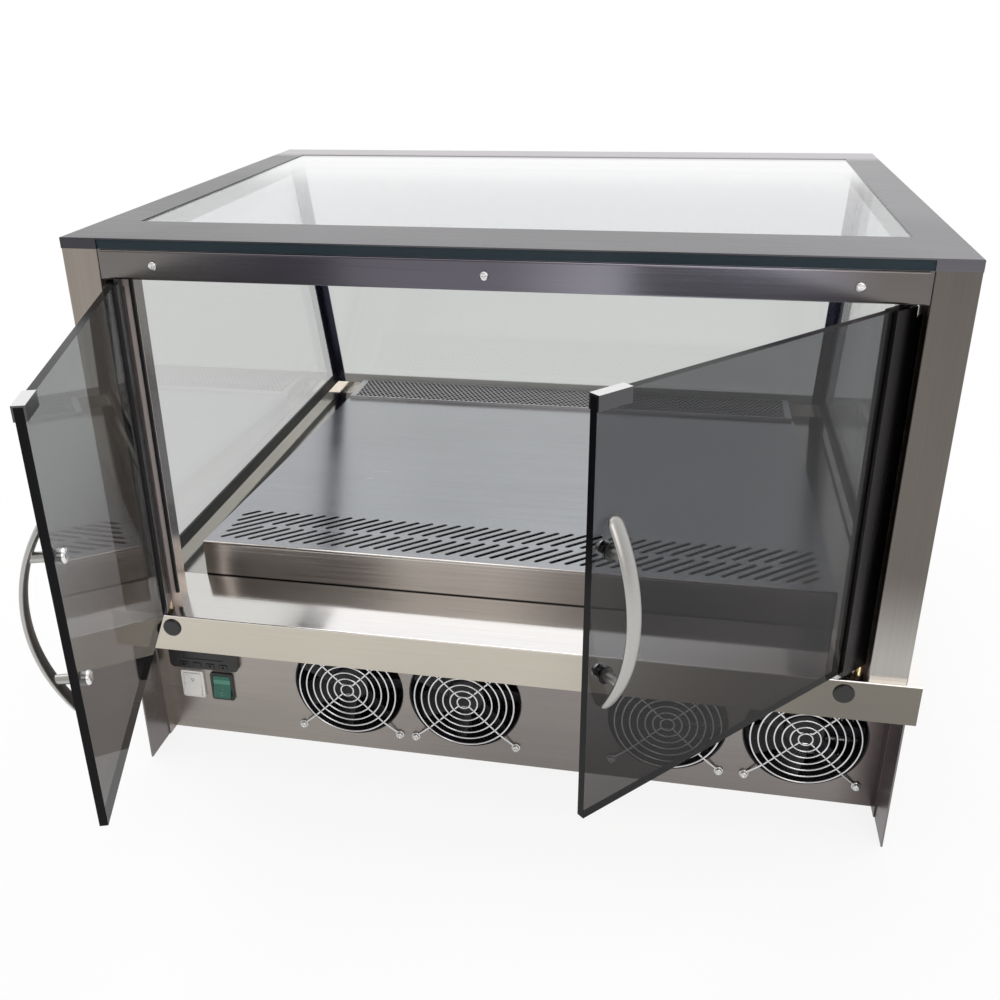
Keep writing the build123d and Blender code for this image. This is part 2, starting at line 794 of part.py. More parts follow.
def door_clip():
    """Bent strike plate over the top free corner, which the magnet holds."""
    s0 = door_reach - clip_l
    t = sheet
    half = glass_t / 2
    clip = slab(s0, door_reach, -half - t, half + t, door_z1 - clip_h, door_z1 + t)
    return clip - slab(s0 - 1, door_reach + 1, -half, half, door_z1 - clip_h - 1, door_z1)


def handle_arc_y(z):
    """Distance of the bow's centre line from the middle of the glass at a height."""
    half = handle_l / 2
    rise = handle_out_mid - handle_out_end
    radius = (half ** 2 + rise ** 2) / (2 * rise)
    dz = z - handle_z
    return handle_out_mid - radius + math.sqrt(radius ** 2 - dz ** 2)


def door_handle():
    """Bow of oval bar with rounded ends, on two standoffs that are screwed through the glass."""
    s = door_reach - handle_from_edge
    z0 = handle_z - handle_l / 2
    z1 = handle_z + handle_l / 2
    arc = ThreePointArc((s, -handle_out_end, z0), (s, -handle_out_mid, handle_z), (s, -handle_out_end, z1))
    low_end = Plane(origin=arc @ 0, x_dir=(1, 0, 0), z_dir=arc % 0)
    high_end = Plane(origin=arc @ 1, x_dir=(1, 0, 0), z_dir=arc % 1)
    bow = sweep(low_end * Ellipse(handle_half_w, handle_half_t), path=arc)
    tip = scale(Sphere(handle_half_w), by=(1, handle_half_t / handle_half_w, 1))
    bow = bow + low_end * tip + high_end * tip
    for z in (handle_z - handle_pitch / 2, handle_z + handle_pitch / 2):
        foot = -glass_t / 2 - washer_t
        bow = bow + rod_y(s, z, -handle_arc_y(z), foot, standoff_r)
    return bow


def handle_fixings():
    """Washers in front of the glass and domed screw caps behind it."""
    s = door_reach - handle_from_edge
    pieces = []
    for z in (handle_z - handle_pitch / 2, handle_z + handle_pitch / 2):
        foot = -glass_t / 2
        washer = rod_y(s, z, foot - washer_t, foot, washer_r)
        cap = rod_y(s, z, glass_t / 2, glass_t / 2 + cap_h, cap_r)
        cap = fillet(cap.edges().group_by(Axis.Y)[-1], cap_h * 0.7)
        cap = cap + rod_y(s, z, foot, glass_t / 2, standoff_r)
        pieces.append(washer + cap)
    return pieces


def make_doors():
    """Left and right doors with their glass, stile, strike clip, handle and fixings."""
    for side in ("left", "right"):
        keep(f"{side}_door_glass", place_door(door_glass(), side))
        keep(f"{side}_door_stile", place_door(door_stile(), side))
        keep(f"{side}_door_clip", place_door(door_clip(), side))
        keep(f"{side}_door_handle", place_door(door_handle(), side))
        keep(f"{side}_handle_fixings", *[place_door(piece, side) for piece in handle_fixings()])
    pins = []
    high_z = header_z - sleeve_top_h
    low_z = ledge_z + sleeve_bottom_h
    for x in (-pivot_x, pivot_x):
        high_pin = rod_z(x, pivot_y, high_z - pin_l, high_z, pin_r)
        pins.append(high_pin + rod_z(x, pivot_y, high_z, header_z, sleeve_r))
        low_pin = rod_z(x, pivot_y, low_z, low_z + pin_l, pin_r)
        pins.append(low_pin + rod_z(x, pivot_y, ledge_z, low_z, sleeve_r))
    keep("door_pivot_pins", *pins)
    magnet_y = pivot_y + glass_t / 2 + sheet + fit
    magnet_x = pivot_x - door_reach + 1
    magnet_z = header_z + sheet
    magnet = slab(
        magnet_x, magnet_x + magnet_w, magnet_y, magnet_y + magnet_d, magnet_z, magnet_z + magnet_h,
    )
    keep("door_magnets", *both_sides(magnet))
    light_y = cab_front + header_depth - led_d
    light = slab(-led_l / 2, led_l / 2, light_y, light_y + led_d, header_z - led_h, header_z)
    keep("light_bar", fillet(light.edges().filter_by(Axis.X).group_by(Axis.Z)[0], 2.5))


def fin_block(x0, x1, y0, y1, z0, z1, rows):
    """Coil: thin upright fins on straight tubes, with closed end plates."""
    block = slab(x0, x0 + 2, y0, y1, z0, z1) + slab(x1 - 2, x1, y0, y1, z0, z1)
    count = int((x1 - x0 - 4) / fin_pitch)
    for index in range(1, count):
        x = x0 + 2 + index * (x1 - x0 - 4) / count
        block = block + slab(x - fin_t / 2, x + fin_t / 2, y0, y1, z0 + 2, z1)
    for y, z in rows:
        block = block + rod_x(y, z, x0 - coil_tube_out, x1 + coil_tube_out, coil_tube_r)
    return block


def make_cooling():
    """Evaporator in the well, and condenser, compressor and pipes in the lower housing."""
    evap_z1 = well_floor_z + evap_h
    middle = well_floor_z + evap_h / 2
    rows = [(evap_front + evap_tube_first + evap_tube_pitch * n, middle) for n in range(tube_rows)]
    evaporator = fin_block(-evap_w / 2, evap_w / 2, evap_front, evap_back, well_floor_z, evap_z1, rows)
    keep("evaporator_coil", evaporator)
    cond_y1 = cond_front + cond_d
    cond_mid = cond_front + cond_d / 2
    rows = [(cond_mid, pan_top + cond_tube_first + cond_tube_pitch * n) for n in range(tube_rows)]
    condenser = fin_block(
        cond_x - cond_w / 2, cond_x + cond_w / 2, cond_front, cond_y1, pan_top, pan_top + cond_h, rows,
    )
    keep("condenser_coil", condenser)
    foot_top = pan_top + comp_foot_h
    can = rod_z(comp_x, comp_y, foot_top, foot_top + comp_h, comp_r)
    can = fillet(can.edges().group_by(Axis.Z)[-1], 24)
    feet = slab(comp_x - 75, comp_x + 75, comp_y - 30, comp_y + 30, pan_top, foot_top)
    keep("compressor", can + feet)
    out_z = pan_top + cond_tube_first + 2 * cond_tube_pitch
    corner_x = comp_x + comp_r + 60
    coil_x = cond_x - cond_w / 2 - coil_tube_out
    discharge = wire((
        (comp_x + comp_r, comp_y, out_z),
        (corner_x, comp_y, out_z),
        (corner_x, cond_y1 + 12, out_z),
        (coil_x - 10, cond_y1 + 12, out_z),
        (coil_x - 10, cond_mid, out_z),
        (coil_x, cond_mid, out_z),
    ), pipe_r)
    suction = wire((
        (comp_x - comp_r, comp_y, out_z),
        (pipe_well_x, comp_y, out_z),
        (pipe_well_x, pipe_well_y, out_z),
        (pipe_well_x, pipe_well_y, middle),
        (-evap_w / 2 - coil_tube_out, pipe_well_y, middle),
    ), pipe_r)
    keep("refrigerant_pipes", discharge, suction)
    inlet = slab(
        inlet_x - 13.8, inlet_x + 13.8, rear_panel_y - 26, rear_panel_y, inlet_z - 9.8, inlet_z + 9.8,
    )
    inlet = inlet + slab(
        inlet_x - 20, inlet_x + 20, rear_panel_y, rear_panel_y + 1.6, inlet_z - 13, inlet_z + 13,
    )
    socket = slab(inlet_x - 11, inlet_x + 11, rear_panel_y - 16, rear_panel_y + 5, inlet_z - 7, inlet_z + 7)
    inlet = inlet - socket
    for dx, dz in ((-6, -2), (0, 2), (6, -2)):
        blade = slab(
            inlet_x + dx - 1, inlet_x + dx + 1, rear_panel_y - 17, rear_panel_y - 3,
            inlet_z + dz - 2, inlet_z + dz + 2,
        )
        inlet = inlet + blade
    keep("power_inlet", inlet)


make_top()
make_header()
make_screws()
make_posts()
make_glazing()
make_jambs()
make_ledge()
make_well()
make_deck()
make_grille()
make_housing()
make_fans()
make_controller()
make_switch("light_switch_frame", "light_rocker", light_switch_x, -rocker_tilt)
make_switch("power_switch_frame", "power_rocker", power_switch_x, -rocker_tilt)
make_doors()
make_cooling()

for name, solids in nodes.items():
    shape = solids[0] if len(solids) == 1 else Compound(children=solids)
    export_step(shape, f"parts/{name}.step")
print(len(nodes), "nodes")
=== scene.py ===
import bpy
import bmesh
import math
from mathutils import Matrix, Vector


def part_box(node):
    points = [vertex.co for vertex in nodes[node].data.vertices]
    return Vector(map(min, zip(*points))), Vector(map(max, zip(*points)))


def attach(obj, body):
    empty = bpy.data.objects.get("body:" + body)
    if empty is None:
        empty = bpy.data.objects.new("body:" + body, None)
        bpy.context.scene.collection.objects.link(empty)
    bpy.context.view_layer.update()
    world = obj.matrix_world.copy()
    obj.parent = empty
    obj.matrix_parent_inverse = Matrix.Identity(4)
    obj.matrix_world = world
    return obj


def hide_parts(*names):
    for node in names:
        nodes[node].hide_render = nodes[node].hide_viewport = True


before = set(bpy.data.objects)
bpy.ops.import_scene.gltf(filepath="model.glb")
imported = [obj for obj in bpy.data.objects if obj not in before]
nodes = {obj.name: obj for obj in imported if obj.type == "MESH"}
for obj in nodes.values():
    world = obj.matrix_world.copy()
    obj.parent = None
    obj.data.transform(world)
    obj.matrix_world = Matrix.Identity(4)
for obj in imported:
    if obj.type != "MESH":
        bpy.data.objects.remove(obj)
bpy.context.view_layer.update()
scene = bpy.context.scene
scene.view_settings.view_transform = "Standard"


# The camera stands where the photograph was taken from, in front of the doors
# and a little right of the middle, and looks down on the top of the cabinet.
# The lens is a moderate wide angle, and the frame is shifted to the picture's.
yaw = math.radians(11.92)
pitch = math.radians(24.42)
roll = math.radians(1.19)
standpoint = (0.1493, -1.1193, 0.7206)
flat_share = math.cos(pitch)
ahead = Vector((-math.sin(yaw) * flat_share, math.cos(yaw) * flat_share, -math.sin(pitch)))
level = Vector((math.cos(yaw), math.sin(yaw), 0))
below = ahead.cross(level)
picture_right = math.cos(roll) * level + math.sin(roll) * below
picture_down = math.cos(roll) * below - math.sin(roll) * level
camera = bpy.data.objects.new("photo_camera", bpy.data.cameras.new("photo_camera"))
camera.data.sensor_width = 36.0
camera.data.lens = 38.085
camera.data.shift_x = 0.0343
camera.data.shift_y = -0.0220
turn = Matrix((picture_right, -picture_down, -ahead)).transposed()
camera.matrix_world = Matrix.Translation(standpoint) @ turn.to_4x4()
scene.collection.objects.link(camera)
scene.camera = camera


# The room: a pale floor under the cabinet and a bright white background behind it,
# with the darker room of the photographer in front, which the steel reflects.
# Two wide soft lamps stand over the cabinet.
class Reading:
    """A socket of a material's node tree that takes Python's sums."""

    def __init__(self, tree, socket):
        self.tree = tree
        self.socket = socket

    def sum(self, operation, *values):
        node = self.tree.nodes.new("ShaderNodeMath")
        node.operation = operation
        for slot, value in zip(node.inputs, values):
            feed(self.tree, slot, value)
        return Reading(self.tree, node.outputs[0])

    def __add__(self, other):
        return self.sum("ADD", self, other)

    def __radd__(self, other):
        return self.sum("ADD", other, self)

    def __sub__(self, other):
        return self.sum("SUBTRACT", self, other)

    def __rsub__(self, other):
        return self.sum("SUBTRACT", other, self)

    def __mul__(self, other):
        return self.sum("MULTIPLY", self, other)

    def __rmul__(self, other):
        return self.sum("MULTIPLY", other, self)

    def __truediv__(self, other):
        return self.sum("DIVIDE", self, other)

    def __mod__(self, other):
        return self.sum("MODULO", self, other)

    def __pow__(self, other):
        return self.sum("POWER", self, other)

    def __lt__(self, other):
        return self.sum("LESS_THAN", self, other)

    def __gt__(self, other):
        return self.sum("GREATER_THAN", self, other)

    def __abs__(self):
        return self.sum("ABSOLUTE", self)

    def greater(self, other):
        return self.sum("MAXIMUM", self, other)

    def whole(self):
        return self.sum("FLOOR", self)

    def fraction(self):
        return self.sum("FRACT", self)


def feed(tree, slot, value):
    """Links a reading to a socket, or sets the socket's own value."""
    if isinstance(value, Reading):
        tree.links.new(value.socket, slot)
    elif slot.type == "RGBA" and len(value) == 3:
        slot.default_value = (*value, 1.0)
    else:
        slot.default_value = value


class Finish:
    """A material or world, whose nodes are added one by one."""

    def __init__(self, owner):
        self.owner = owner
        owner.use_nodes = True
        self.tree = owner.node_tree
        self.tree.nodes.clear()

    def add(self, kind, settings, inputs, output=0):
        node = self.tree.nodes.new("ShaderNode" + kind)
        for name, value in settings.items():
            setattr(node, name, value)
        for name, value in inputs.items():
            feed(self.tree, node.inputs[name], value)
        return Reading(self.tree, node.outputs[output])

    def place(self, output="Object"):
        return self.add("TexCoord", {}, {}, output)

    def ray(self, kind):
        """One for a ray that is of this kind, and zero for the others."""
        return self.add("LightPath", {}, {}, f"Is {kind} Ray")

    def axis(self, vector, name):
        return self.add("SeparateXYZ", {}, {"Vector": vector}, name)

    def stretched(self, vector, x, y, z):
        return self.add("VectorMath", {"operation": "MULTIPLY"}, {0: vector, 1: (x, y, z)})

    def reach(self, vector, direction):
        """How far a vector goes in a direction."""
        return self.add("VectorMath", {"operation": "DOT_PRODUCT"}, {0: vector, 1: direction}, "Value")

    def noise(self, vector, scale, detail=2.0, roughness=0.5):
        return self.add("TexNoise", {}, {
            "Vector": vector, "Scale": scale, "Detail": detail, "Roughness": roughness,
        }, "Fac")

    def blend(self, share, first, second):
        return self.add("Mix", {"data_type": "RGBA"}, {0: share, 6: first, 7: second}, 2)

    def ramp(self, value, start, end):
        """Zero before start, one after end, and smooth between them."""
        return self.add("MapRange", {"interpolation_type": "SMOOTHSTEP"}, {
            "Value": value, "From Min": start, "From Max": end,
        })

    def over(self, share, first, second):
        """Lays the second shader over the first one by a share."""
        return self.add("MixShader", {}, {0: share, 1: first, 2: second})

    def show(self, shader):
        kind = "OutputWorld" if isinstance(self.owner, bpy.types.World) else "OutputMaterial"
        node = self.tree.nodes.new("ShaderNode" + kind)
        self.tree.links.new(shader.socket, node.inputs["Surface"])
        return self.owner


def finish(name):
    return Finish(bpy.data.materials.new(name))


white = (1.0, 1.0, 1.0)
room_grey = (0.82, 0.82, 0.82)
dim_room = (0.52, 0.50, 0.48)
dim_until, white_from = -0.75, 0.35
room = Finish(bpy.data.worlds.new("studio"))
scene.world = room.owner
backness = room.ramp(room.axis(room.place("Generated"), "Y"), dim_until, white_from)
mirrored = room.blend(backness, dim_room, white)
lit = room.blend(room.ray("Glossy"), room_grey, mirrored)
straight = room.ray("Camera").greater(room.ray("Transmission"))
seen = room.blend(straight, lit, white)
room.show(room.add("Background", {}, {"Color": seen, "Strength": 1.0}))

floor_size = 60.0
floor_white = (0.90, 0.90, 0.90)
mirrored_glow = 0.6
near_glow = 0.85
glow_grows_from, glow_full_at = 0.8, 1.8
bpy.ops.mesh.primitive_plane_add(size=floor_size)
floor = bpy.context.object
floor.name = "floor"
ground = finish("pale_floor")
direct = ground.ray("Camera").greater(ground.ray("Transmission"))
direct = direct.greater(ground.ray("Glossy") * mirrored_glow)
plain = ground.add("BsdfDiffuse", {}, {"Color": floor_white, "Roughness": 0.0})
glowing = ground.add("Emission", {}, {"Color": white, "Strength": 1.0})
away = ground.add("VectorMath", {"operation": "LENGTH"}, {0: ground.place()}, "Value")
glow = near_glow + ground.ramp(away, glow_grows_from, glow_full_at) * (1.0 - near_glow)
floor.data.materials.append(ground.show(ground.over(direct * glow, plain, glowing)))

for label, place, aim, size, watts, tone in (
    ("overhead_lamp", (-0.3, 0.1, 2.3), (0, 0, 0.3), 2.2, 22.0, (1.0, 0.98, 0.96)),
    ("front_lamp", (1.0, -2.2, 1.6), (0, -0.2, 0.2), 1.4, 12.0, (1.0, 0.97, 0.94)),
):
    lamp = bpy.data.objects.new(label, bpy.data.lights.new(label, "AREA"))
    lamp.data.size = size
    lamp.data.energy = watts
    lamp.data.color = tone
    lamp.location = place
    lamp.rotation_mode = "QUATERNION"
    lamp.rotation_quaternion = (Vector(aim) - Vector(place)).to_track_quat("-Z", "Y")
    scene.collection.objects.link(lamp)


# The top frame is one folded picture frame of brushed stainless sheet.
# It lies on the top pane, is folded down at the sides and the rear, and ends in
# two short tabs over the front posts.
def brushed(name, color, along, roughness=0.30, streaks=0.10, clouds=0.05, painted_light=(), tilt=0.0):
    """Brushed stainless sheet: fine scratches along one axis, and faint wiped clouds.

    Each band of painted light is an axis, where it starts and ends along it, and the color after it:
    painted reflections and painted shade laid into the steel's colour.
    Tilt turns the shading of level faces towards the doors.
    """
    scratch_fineness, scratch_length_fineness = 620.0, 7.0
    wide_share = 0.16
    cloud_fineness = 5.5
    scratch_depth, scratch_strength = 0.0003, 0.05
    scratch_roughness, cloud_roughness = 0.16, 0.14
    level_limit = 0.9

    steel = finish(name)
    where = steel.place()
    fineness = [scratch_fineness] * 3
    fineness["XYZ".index(along)] = scratch_length_fineness
    wide_fineness = [value * wide_share for value in fineness]
    grain = steel.noise(steel.stretched(where, *fineness), 1.0, detail=3.0, roughness=0.62)
    wide = steel.noise(steel.stretched(where, *wide_fineness), 1.0)
    cloud = steel.noise(where, cloud_fineness, detail=3.0, roughness=0.55)
    for axis, first, last, other in painted_light:
        color = steel.blend(steel.ramp(steel.axis(where, axis), first, last), color, other)
    tone = 1.0 + (grain - 0.5) * (2.2 * streaks) + (wide - 0.5) * streaks
    tone = tone + (cloud - 0.5) * (3.0 * clouds)
    grey_tone = steel.add("CombineColor", {}, {"Red": tone, "Green": tone, "Blue": tone})
    toned = steel.add("Mix", {"data_type": "RGBA", "blend_type": "MULTIPLY"}, {
        0: 1.0, 6: color, 7: grey_tone,
    }, 2)
    uneven = roughness + (grain - 0.5) * scratch_roughness + (cloud - 0.5) * cloud_roughness
    ridge = steel.add("Bump", {}, {
        "Strength": scratch_strength, "Distance": scratch_depth, "Height": grain,
    })
    if tilt:
        level_face = steel.axis(steel.place("Normal"), "Z") > level_limit
        turned = steel.add("CombineXYZ", {}, {"Y": level_face * -tilt})
        ridge = steel.add("VectorMath", {"operation": "ADD"}, {0: ridge, 1: turned})
        ridge = steel.add("VectorMath", {"operation": "NORMALIZE"}, {0: ridge})
    return steel.show(steel.add("BsdfPrincipled", {}, {
        "Base Color": toned, "Metallic": 1.0, "Roughness": uneven, "Normal": ridge,
    }))


def dress(material, *names):
    """Gives CAD nodes a material in all their slots."""
    for name in names:
        data = nodes[name].data
        if not data.materials:
            data.materials.append(material)
        for index in range(len(data.materials)):
            data.materials[index] = material


# The frame's colour is painted with reflections: darker on the left, lighter on the right, and much
# lighter on the rear part.
top_steel = brushed(
    "top_steel", (0.066, 0.064, 0.071), "X", roughness=0.28,
    painted_light=(
        ("X", -0.32, -0.10, (0.100, 0.097, 0.106)),
        ("X", 0.10, 0.34, (0.145, 0.139, 0.152)),
        ("Y", 0.15, 0.19, (0.47, 0.445, 0.47)),
    ),
)
dress(top_steel, "top_frame")


# The top pane is clear float glass, 8 mm thick, with polished edges.
# It shows a dark green edge between the top frame and the header. The bright room
# on its rear part is a painted reflection: a glowing white veil laid over the glass.
def pane(name, tint, edge, face, shine=1.0, edge_alpha=0.93, painted_tint_shift=None, painted_sheen=None):
    """Flat glass: tinted and clear through its faces, dark along its cut edges.

    The tint shift is an axis, where it starts and ends along it, and the tint after it: painted light.
    The painted sheen is the same, with the share of glowing white after it: a painted reflection.
    """
    flat_limit = 0.7
    straight_mirror, slanting_mirror, slant_power = 0.04, 0.9, 5.0
    polish_roughness = 0.02
    edge_roughness, edge_specular = 0.2, 0.12

    glass = finish(name)
    where = glass.place()
    square = abs(glass.reach(glass.place("Normal"), face))
    slant = glass.add("LayerWeight", {}, {"Blend": 0.5}, "Facing")
    mirror = (slant ** slant_power * slanting_mirror + straight_mirror) * shine
    clear = glass.add("BsdfTransparent", {}, {"Color": tint})
    if painted_tint_shift:
        axis, first, last, painted_tint = painted_tint_shift
        painted_tint_layer = glass.add("BsdfTransparent", {}, {"Color": painted_tint})
        clear = glass.over(glass.ramp(glass.axis(where, axis), first, last), clear, painted_tint_layer)
    gleam = glass.add("BsdfGlossy", {}, {"Color": white, "Roughness": polish_roughness})
    sheet = glass.over(mirror, clear, gleam)
    if painted_sheen:
        axis, first, last, share = painted_sheen
        painted_glow = glass.add("Emission", {}, {"Color": white, "Strength": 1.0})
        sheet = glass.over(glass.ramp(glass.axis(where, axis), first, last) * share, sheet, painted_glow)
    cut = glass.add("BsdfPrincipled", {}, {
        "Base Color": edge, "Roughness": edge_roughness, "Specular IOR Level": edge_specular,
        "Alpha": edge_alpha,
    })
    return glass.show(glass.over(square < flat_limit, sheet, cut))


top_pane = pane(
    "top_pane", (0.965, 0.97, 0.985), edge=(0.022, 0.036, 0.045), face=(0, 0, 1),
    painted_sheen=("Y", -0.02, 0.20, 0.8),
)
dress(top_pane, "top_glass")

# The two side panes and the leaning rear pane are clear glass, 6 mm thick.
# They stand on narrow rails and meet at two steel corner angles.
clear_edge = (0.02, 0.03, 0.035)
side_pane = pane("side_pane", (0.785, 0.79, 0.785), clear_edge, face=(1, 0, 0))
dress(side_pane, "side_glass_left", "side_glass_right")
rear_lean = math.radians(18.0)
rear_face = (0.0, math.cos(rear_lean), math.sin(rear_lean))
dress(pane("rear_pane", (0.785, 0.795, 0.785), clear_edge, rear_face), "rear_glass")

# The header is a folded steel channel between the posts, closed by a cover that
# three pan-head screws hold. It carries the light bar and the magnets of the
# catches. Its colour is painted brighter and darker along it, as painted reflections of the room.
header_steel = brushed(
    "header_steel", (0.18, 0.168, 0.16), "X", roughness=0.24,
    painted_light=(
        ("X", -0.30, -0.16, (0.132, 0.124, 0.148)),
        ("X", 0.00, 0.10, (0.27, 0.26, 0.30)),
        ("X", 0.22, 0.30, (0.155, 0.142, 0.137)),
    ),
)
dress(header_steel, "header_channel", "header_cover")

# The front posts are folded steel tubes, welded to the ledge and brushed upright.
# Their colours are painted reflections: the left one is painted with the pale floor,
# and the upper part of the right one is painted darker with the room.
left_post_steel = brushed(
    "left_post_steel", (0.31, 0.275, 0.24), "Z", roughness=0.32, streaks=0.12,
)
dress(left_post_steel, "front_post_left")
right_post_steel = brushed(
    "right_post_steel", (0.42, 0.40, 0.375), "Z", roughness=0.32, streaks=0.12,
    painted_light=(("Z", 0.20, 0.30, (0.148, 0.134, 0.120)),),
)
dress(right_post_steel, "front_post_right")

# The rear corner angles are narrow folded strips of steel that lean with the rear
# pane and hold it to the side panes.
angle_steel = brushed("angle_steel", (0.055, 0.055, 0.085), "Z")
dress(angle_steel, "rear_post_left", "rear_post_right")

# The door jambs are steel angles behind the pivots. Their front faces carry a
# painted highlight, and the legs that run back are painted darker with shade.
jamb_fineness = (500.0, 500.0, 9.0)
jamb = finish("jamb_steel")
painted_highlight_face = jamb.axis(jamb.place("Normal"), "Y") < -0.5
rubbed = jamb.noise(jamb.stretched(jamb.place(), *jamb_fineness), 1.0, detail=3.0)
painted_shade_leg = jamb.blend(rubbed, (0.26, 0.24, 0.235), (0.36, 0.34, 0.33))
jamb.show(jamb.add("BsdfPrincipled", {}, {
    "Base Color": jamb.blend(painted_highlight_face, painted_shade_leg, (0.80, 0.70, 0.68)),
    "Metallic": 1.0 - painted_highlight_face * 0.75, "Roughness": 0.25,
}))
dress(jamb.owner, "door_jamb_left", "door_jamb_right")


# The gaskets are upright strips of black rubber, which run down the jambs, and the
# doors close on them.
def moulded(name, color, roughness, pebbles=900.0, pebble_strength=0.03):
    """Moulded plastic or rubber, with a fine skin and uneven sheen."""
    patch_fineness = 30.0
    pebble_depth = 0.0002
    patch_roughness = 0.12

    skin = finish(name)
    where = skin.place()
    fine = skin.noise(where, pebbles)
    patch = skin.noise(where, patch_fineness, detail=3.0)
    dark = tuple(channel * 0.8 for channel in color)
    light = tuple(min(1.0, channel * 1.15 + 0.004) for channel in color)
    pebble = skin.add("Bump", {}, {
        "Strength": pebble_strength, "Distance": pebble_depth, "Height": fine,
    })
    return skin.show(skin.add("BsdfPrincipled", {}, {
        "Base Color": skin.blend(patch, dark, light),
        "Roughness": roughness + (patch - 0.5) * patch_roughness, "Normal": pebble,
    }))


rubber_black = (0.012, 0.012, 0.013)
dress(moulded("black_rubber", rubber_black, 0.55), "door_gaskets")

# The panes stand in low extruded rails. Those at the feet of the side panes are
# black, and the one at the foot of the rear pane is pale.
side_rails_from = 0.336
rails = finish("glass_rails")
at_rear = abs(rails.axis(rails.place(), "X")) < side_rails_from
rails.show(rails.add("BsdfPrincipled", {}, {
    "Base Color": rails.blend(at_rear, rubber_black, (0.62, 0.62, 0.60)), "Roughness": 0.45,
}))
dress(rails.owner, "glass_base_rails")

# The ledge is a folded plate of polished stainless, so it mirrors the deck's lip
# and the white room. Two black plugs sit in holes of its folded face.
# The plate behind it goes on around the sunk well.
# The ledge's top is painted nearly white, brighter than steel, as a painted reflection of the white
# room, and its right end is painted darker with shade.
painted_bright_top_from, painted_bright_top_to = 0.1895, 0.1905
ledge_steel = brushed(
    "ledge_steel", (0.55, 0.51, 0.44), "X", roughness=0.10, streaks=0.05, clouds=0.03,
    painted_light=(
        ("X", 0.02, 0.30, (0.20, 0.185, 0.16)),
        ("Z", painted_bright_top_from, painted_bright_top_to, (0.98, 0.95, 0.92)),
    ),
    tilt=0.08,
)
dress(ledge_steel, "ledge_plate")
plate_steel = brushed(
    "plate_steel", (0.70, 0.68, 0.65), "X", roughness=0.12, streaks=0.05, clouds=0.03,
)
dress(plate_steel, "well_tub")
dress(moulded("black_plug", (0.01, 0.01, 0.011), 0.32), "ledge_plugs")

# The deck is a folded lid of brushed stainless with two rows of slanted slots.
# Its front lip is painted warmer and brighter than the top, as a painted reflection of the ledge.
# The lip's right part is painted darker, and a painted shadow runs as a dark line along its lower
# edge.
painted_lip_shadow_from, painted_lip_shadow_to = 0.1930, 0.1920
lip_from, lip_to = -0.2495, -0.2475
deck_steel = brushed(
    "deck_steel", (0.66, 0.625, 0.59), "X", roughness=0.22, streaks=0.08,
    painted_light=(
        ("X", -0.02, 0.08, (0.34, 0.31, 0.30)),
        ("Z", painted_lip_shadow_from, painted_lip_shadow_to, (0.03, 0.03, 0.03)),
        ("Y", lip_from, lip_to, (0.60, 0.605, 0.645)),
    ),
)
dress(deck_steel, "slotted_deck")

# The rear grille is a shallow tray of finely perforated sheet, folded down all
# round, with plain strips at its ends. It replaces the solid's larger holes.
grille_solid_steel = brushed("grille_solid_steel", (0.40, 0.40, 0.40), "X", roughness=0.28)
dress(grille_solid_steel, "rear_grille")
grille_low, grille_high = (Vector(corner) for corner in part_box("rear_grille"))
grille_middle = (grille_high + grille_low) / 2
grille_size = grille_high - grille_low
hole_pitch = 0.0066
hole_radius = 0.0024
row_pitch = hole_pitch * math.sqrt(3) / 2
plain_end = 0.0085
plain_side = 0.0022
mesh_steel = finish("perforated_steel")
from_left = mesh_steel.axis(mesh_steel.place(), "X")
from_front = mesh_steel.axis(mesh_steel.place(), "Y")
rows = from_front / row_pitch
odd_row = abs(rows.whole() % 2.0)
holes = from_left / hole_pitch + odd_row * 0.5
off_x = (holes.fraction() - 0.5) * hole_pitch
off_y = (rows.fraction() - 0.5) * row_pitch
from_hole = (off_x * off_x + off_y * off_y) ** 0.5
drilled_x = abs(from_left) < grille_high.x - plain_end
drilled_y = abs(from_front - grille_middle.y) < grille_size.y / 2 - plain_side
on_top = mesh_steel.axis(mesh_steel.place("Normal"), "Z") > 0.9
drilled = drilled_x * drilled_y * on_top
hole = (from_hole < hole_radius) * drilled
mesh_steel.show(mesh_steel.add("BsdfPrincipled", {}, {
    "Base Color": mesh_steel.blend(drilled, (0.66, 0.655, 0.66), (0.46, 0.45, 0.47)),
    "Metallic": 1.0, "Roughness": 0.3, "Alpha": 1.0 - hole,
}))


def build(name, material, body, draw):
    """One new piece, whose mesh is drawn by a function that gets an empty bmesh."""
    shape = bmesh.new()
    draw(shape)
    bmesh.ops.recalc_face_normals(shape, faces=shape.faces)
    piece = bpy.data.objects.new(name, bpy.data.meshes.new(name))
    shape.to_mesh(piece.data)
    shape.free()
    piece.data.materials.append(material)
    scene.collection.objects.link(piece)
    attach(piece, body)
    return piece


def draw_tray(shape):
    cube = bmesh.ops.create_cube(shape, size=1.0)
    bmesh.ops.scale(shape, vec=grille_size, verts=cube["verts"])
    bmesh.ops.translate(shape, vec=grille_middle, verts=cube["verts"])
    under = [face for face in shape.faces if face.normal.z < -0.9]
    bmesh.ops.delete(shape, geom=under, context="FACES_ONLY")


tray = build("perforated_tray", mesh_steel.owner, "cabinet", draw_tray)
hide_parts("rear_grille")

# The lower housing is bent from brushed stainless sheet: the front panel with the
# fans and controls, the side skirts, the rear panel and the base pan.
# The panel is painted with shade: darker from its middle to the right, and darker still at its right
# end as a painted shadow.
panel_steel = brushed(
    "panel_steel", (0.385, 0.352, 0.325), "X", roughness=0.32,
    painted_light=(
        ("X", -0.20, 0.05, (0.29, 0.268, 0.255)),
        ("X", 0.32, 0.36, (0.15, 0.125, 0.125)),
    ),
)
dress(panel_steel, "lower_front_panel")
